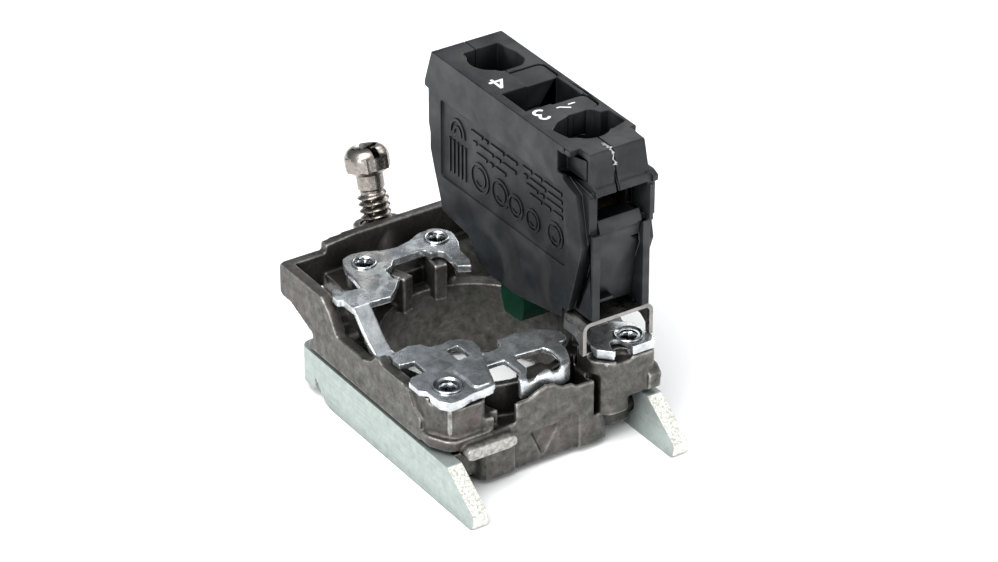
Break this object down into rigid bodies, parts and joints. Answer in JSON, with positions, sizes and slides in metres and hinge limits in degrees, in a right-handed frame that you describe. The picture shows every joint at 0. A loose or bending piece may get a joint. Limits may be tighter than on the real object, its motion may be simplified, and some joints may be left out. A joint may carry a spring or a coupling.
{
  "type": "panel push button body",
  "caption": "Die-cast fixing collar for a 22 mm panel push button, with clamping yoke, retaining plate, locking lever and a clip-on contact block with screw terminals.",
  "frame": {"origin": "centre of the head bore in the plane of the casting's panel seat", "axes": "+Z away from the panel along the bore axis; -Y towards the locking lever's handle; +X towards the side that carries the contact block"},
  "size_m": [0.03, 0.0493, 0.0389],
  "materials": {
    "zinc_casting": "satin die casting",
    "zinc_plated_steel": "bright zinc plating",
    "galvanised_steel": "matte galvanised",
    "screw_steel": "satin",
    "black_plastic": "satin moulding",
    "green_plastic": "smooth moulding",
    "brass": "satin",
    "silver": "polished",
    "spring_steel": "drawn wire"
  },
  "bodies": {
    "collar": {"collar_casting": "zinc_casting", "retaining_plate": "zinc_plated_steel", "catch_plate": "zinc_plated_steel", "rivet_rear_left": "zinc_plated_steel", "rivet_rear_right": "zinc_plated_steel", "rivet_front_left": "zinc_plated_steel", "rivet_front_right": "zinc_plated_steel", "block_housing": "black_plastic", "block_cover": "black_plastic", "block_clip": "zinc_plated_steel", "fixed_contact_front": "brass", "fixed_contact_rear": "brass", "fixed_tip_front": "silver", "fixed_tip_rear": "silver"},
    "lever": {"locking_lever": "zinc_plated_steel"},
    "yoke": {"clamp_yoke": "galvanised_steel"},
    "screw_end": {"screw_end_washer": "screw_steel"},
    "screw": {"clamp_screw": "screw_steel"},
    "plunger": {"plunger": "green_plastic", "return_spring": "spring_steel", "bridge_spring": "spring_steel"},
    "bridge": {"contact_bridge": "brass", "moving_tip_front": "silver", "moving_tip_rear": "silver"},
    "washer_front": {"clamp_washer_front": "screw_steel"},
    "terminal_front": {"terminal_screw_front": "screw_steel"},
    "washer_rear": {"clamp_washer_rear": "screw_steel"},
    "terminal_rear": {"terminal_screw_rear": "screw_steel"}
  },
  "joints": [
    {"name": "lever_turn", "type": "hinge", "parent": "collar", "child": "lever", "pos_m": [0, 0, 0], "axis": [0, 0, -1], "range_deg": [0, 12]},
    {"name": "yoke_tilt", "type": "hinge", "parent": "collar", "child": "yoke", "pos_m": [0, -0.0134, 0.0026], "axis": [-1, 0, 0], "range_deg": [0, 4.5]},
    {"name": "screw_travel", "type": "slide", "parent": "collar", "child": "screw_end", "axis": [0, -0.2723, -0.9622], "range_m": [0, 0.0024]},
    {"name": "screw_spin", "type": "hinge", "parent": "screw_end", "child": "screw", "pos_m": [0, 0.0217, 0.0142], "axis": [0, -0.2723, -0.9622], "range_deg": [0, 1254]},
    {"name": "plunger_press", "type": "slide", "parent": "collar", "child": "plunger", "axis": [0, 0, 1], "range_m": [0, 0.0043], "stiffness_N_per_m": 400, "springref_m": -0.002, "deforming": ["return_spring"]},
    {"name": "bridge_lag", "type": "slide", "parent": "plunger", "child": "bridge", "axis": [0, 0, -1], "range_m": [0, 0.0018], "deforming": ["bridge_spring"]},
    {"name": "washer_travel_front", "type": "slide", "parent": "collar", "child": "washer_front", "axis": [0, 0, -1], "range_m": [0, 0.0024]},
    {"name": "terminal_spin_front", "type": "hinge", "parent": "washer_front", "child": "terminal_front", "pos_m": [0.01, -0.0083, 0.033], "axis": [0, 0, -1], "range_deg": [0, 1460]},
    {"name": "washer_travel_rear", "type": "slide", "parent": "collar", "child": "washer_rear", "axis": [0, 0, -1], "range_m": [0, 0.0024]},
    {"name": "terminal_spin_rear", "type": "hinge", "parent": "washer_rear", "child": "terminal_rear", "pos_m": [0.01, 0.0116, 0.033], "axis": [0, 0, -1], "range_deg": [0, 1460]}
  ],
  "couplings": [
    {"joint": "screw_spin", "follows": "screw_travel", "rad_per_m": 8976},
    {"joint": "yoke_tilt", "follows": "screw_travel", "rad_per_m": 29.698},
    {"joint": "bridge_lag", "follows": "plunger_press", "ratio": 0.39535},
    {"joint": "terminal_spin_front", "follows": "washer_travel_front", "rad_per_m": 10472},
    {"joint": "terminal_spin_rear", "follows": "washer_travel_rear", "rad_per_m": 10472}
  ]
}
